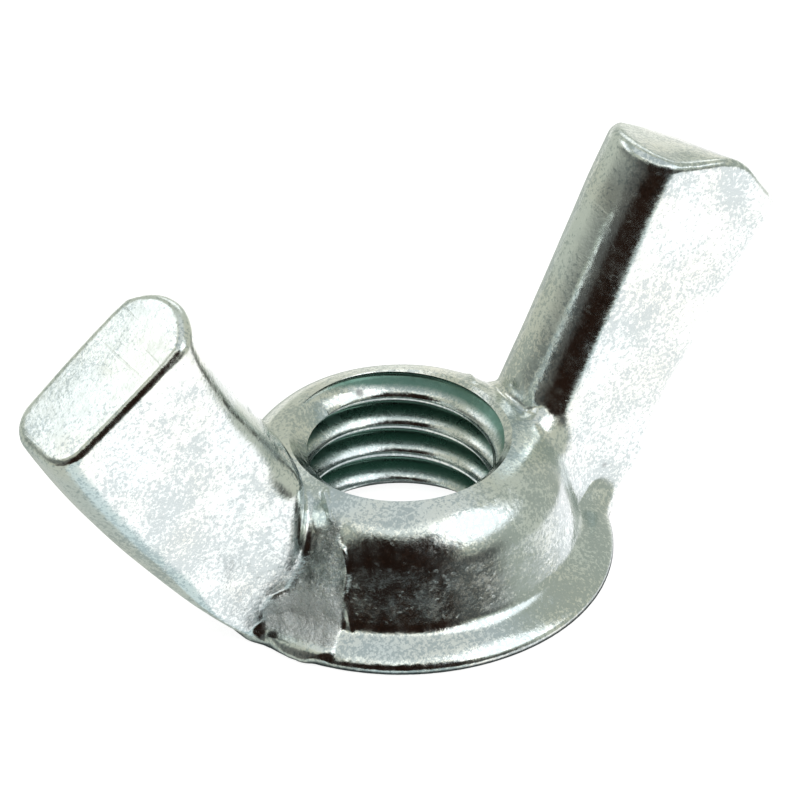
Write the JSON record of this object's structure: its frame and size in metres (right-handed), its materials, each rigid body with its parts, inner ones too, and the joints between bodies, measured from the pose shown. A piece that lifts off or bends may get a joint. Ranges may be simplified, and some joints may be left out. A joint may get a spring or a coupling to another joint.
{
  "type": "wing nut",
  "caption": "Forged steel wing nut: conical hub on a round flange, tapped hole right through, and two flat splayed wings for turning by hand.",
  "frame": {"origin": "centre of the bearing face, on the thread's axis", "axes": "+Z along the thread's axis, from the bearing face to the wings' side; the wings stand along +X and -X"},
  "size_m": [0.0306, 0.0154, 0.0146],
  "materials": {
    "bright_zinc_steel": "bright zinc plate with a pale blue passivation, semi-gloss, lightly scratched"
  },
  "bodies": {
    "root": {"wing_nut_body": "bright_zinc_steel"}
  },
  "joints": []
}
